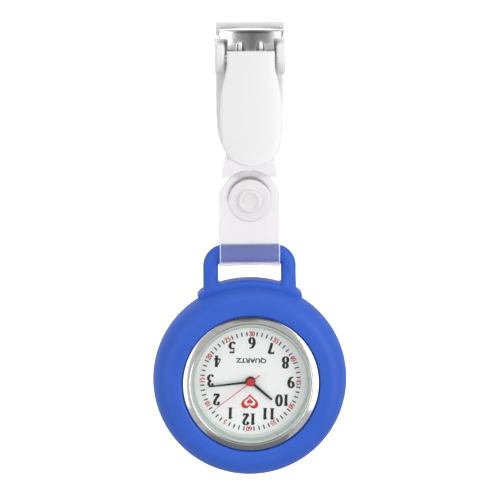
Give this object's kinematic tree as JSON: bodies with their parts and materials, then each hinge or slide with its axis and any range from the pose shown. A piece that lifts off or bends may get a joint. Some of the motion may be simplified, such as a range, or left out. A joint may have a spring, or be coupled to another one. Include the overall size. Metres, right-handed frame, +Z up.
{
  "type": "fob watch",
  "caption": "Clip-on fob watch: sprung bulldog clip, clear strap closed by a press stud, and a quartz head in a soft round sleeve, dial inverted for the wearer.",
  "frame": {"origin": "middle of the line where the two steel jaws pinch the cloth", "axes": "+X to the viewer's right, +Y away from the viewer (towards the wearer), +Z up; the strap and head hang below the clip"},
  "size_m": [0.0396, 0.0144, 0.0942],
  "materials": {
    "white_plastic": "moulded, satin-gloss white",
    "plated_steel": "nickel-plated pressed steel",
    "spring_steel": "drawn steel",
    "frosted_vinyl": "frosted clear flexible vinyl",
    "clear_plastic": "clear moulded plastic",
    "blue_silicone": "soft silicone, satin",
    "case_metal": "turned alloy case",
    "bezel_metal": "polished plated bezel",
    "crystal_glass": "clear mineral glass",
    "clear_gasket": "translucent plastic",
    "black_rubber": "rubber",
    "white_dial": "matt white",
    "black_paint": "gloss black",
    "red_paint": "gloss red",
    "movement_brass": "machined brass",
    "white_nylon": "moulded nylon",
    "magnet": "sintered magnet",
    "soft_iron": "soft iron",
    "copper_wire": "enamelled copper wire",
    "cell_steel": "nickel-plated can",
    "board_green": "glass-fibre board",
    "chip_black": "moulded package"
  },
  "bodies": {
    "clip_back": {"rear_lever": "white_plastic", "rear_jaw": "plated_steel", "hinge_pin": "plated_steel", "torsion_spring": "spring_steel"},
    "thumb_lever": {"front_lever": "white_plastic", "front_jaw": "plated_steel"},
    "strap": {"strap_back_run": "frosted_vinyl", "snap_stud": "clear_plastic", "snap_back_cap": "clear_plastic"},
    "strap_flap": {"strap_front_leaf": "frosted_vinyl", "snap_cap": "clear_plastic", "snap_socket": "clear_plastic"},
    "watch_head": {"silicone_sleeve": "blue_silicone", "case_body": "case_metal", "bezel": "bezel_metal", "crystal": "crystal_glass", "crystal_gasket": "clear_gasket", "dial_flange": "white_dial", "case_back": "case_metal", "case_back_seal": "black_rubber", "crown_tube": "case_metal", "movement_holder": "white_nylon", "dial": "white_dial", "main_plate": "movement_brass", "train_bridge": "movement_brass", "bridge_screws": "spring_steel", "coil_winding": "copper_wire", "coil_bobbin": "white_nylon", "coil_core": "soft_iron", "stator": "soft_iron", "battery": "cell_steel", "battery_clamp": "spring_steel", "circuit_board": "board_green", "control_chip": "chip_black", "oscillator_can": "cell_steel"},
    "setting_fork": {"setting_fork": "spring_steel"},
    "crown_and_stem": {"crown": "case_metal", "crown_gasket": "black_rubber", "winding_stem": "spring_steel"},
    "minutes": {"centre_wheel": "movement_brass", "cannon_pinion": "movement_brass", "minute_hand": "black_paint"},
    "hours": {"hour_wheel": "movement_brass", "hour_hand": "black_paint"},
    "seconds": {"fourth_wheel": "movement_brass", "second_hand": "red_paint"},
    "rotor": {"rotor": "magnet"},
    "fifth_wheel": {"fifth_wheel": "white_nylon"},
    "third_wheel": {"third_wheel": "white_nylon"},
    "minute_wheel": {"minute_wheel": "movement_brass"},
    "setting_wheel": {"setting_wheel": "movement_brass"}
  },
  "joints": [
    {"name": "clip_press", "type": "hinge", "parent": "clip_back", "child": "thumb_lever", "pos_m": [0, -0.0009, -0.0063], "axis": [1, 0, 0], "range_deg": [0, 17], "stiffness_Nm_per_rad": 0.08, "springref_deg": -34.38, "deforming": ["torsion_spring"]},
    {"name": "strap_swing", "type": "hinge", "parent": "clip_back", "child": "strap", "pos_m": [0, 0.0026, -0.0243], "axis": [1, 0, 0], "range_deg": [-35, 60]},
    {"name": "snap_open", "type": "hinge", "parent": "strap", "child": "strap_flap", "pos_m": [0, 0.0026, -0.0501], "axis": [1, 0, 0], "range_deg": [0, 75]},
    {"name": "head_swing", "type": "hinge", "parent": "strap", "child": "watch_head", "pos_m": [0, 0.0026, -0.0474], "axis": [1, 0, 0], "range_deg": [-100, 60]},
    {"name": "crown_pull", "type": "slide", "parent": "watch_head", "child": "setting_fork", "axis": [-1, 0, 0], "range_m": [0, 0.0008]},
    {"name": "crown_turn", "type": "hinge", "parent": "setting_fork", "child": "crown_and_stem", "pos_m": [-0.01, -0.0005, -0.07305], "axis": [-1, 0, 0], "continuous": true},
    {"name": "minutes_turn", "type": "hinge", "parent": "watch_head", "child": "minutes", "pos_m": [0, -0.0022, -0.07305], "axis": [0, 1, 0], "continuous": true},
    {"name": "hours_turn", "type": "hinge", "parent": "watch_head", "child": "hours", "pos_m": [0, -0.0022, -0.07305], "axis": [0, 1, 0], "continuous": true},
    {"name": "seconds_turn", "type": "hinge", "parent": "watch_head", "child": "seconds", "pos_m": [0, -0.0002, -0.07305], "axis": [0, 1, 0], "continuous": true},
    {"name": "third_wheel_turn", "type": "hinge", "parent": "watch_head", "child": "third_wheel", "pos_m": [0.00254, 0.0008, -0.07213], "axis": [0, 1, 0], "continuous": true},
    {"name": "fifth_wheel_turn", "type": "hinge", "parent": "watch_head", "child": "fifth_wheel", "pos_m": [-0.00145, 0.0008, -0.07221], "axis": [0, 1, 0], "continuous": true},
    {"name": "rotor_turn", "type": "hinge", "parent": "watch_head", "child": "rotor", "pos_m": [-0.00287, 0.0008, -0.07196], "axis": [0, 1, 0], "continuous": true},
    {"name": "minute_wheel_turn", "type": "hinge", "parent": "watch_head", "child": "minute_wheel", "pos_m": [-0.00208, -0.0012, -0.07425], "axis": [0, 1, 0], "continuous": true},
    {"name": "setting_wheel_turn", "type": "hinge", "parent": "watch_head", "child": "setting_wheel", "pos_m": [-0.00409, -0.0012, -0.0723], "axis": [0, 1, 0], "continuous": true}
  ],
  "couplings": [
    {"joint": "rotor_turn", "follows": "seconds_turn", "ratio": 30},
    {"joint": "fifth_wheel_turn", "follows": "seconds_turn", "ratio": -6},
    {"joint": "third_wheel_turn", "follows": "seconds_turn", "ratio": -0.13333},
    {"joint": "minutes_turn", "follows": "seconds_turn", "ratio": 0.016667},
    {"joint": "minute_wheel_turn", "follows": "seconds_turn", "ratio": -0.0055556},
    {"joint": "hours_turn", "follows": "seconds_turn", "ratio": 0.0013889},
    {"joint": "setting_wheel_turn", "follows": "seconds_turn", "ratio": 0.01}
  ]
}
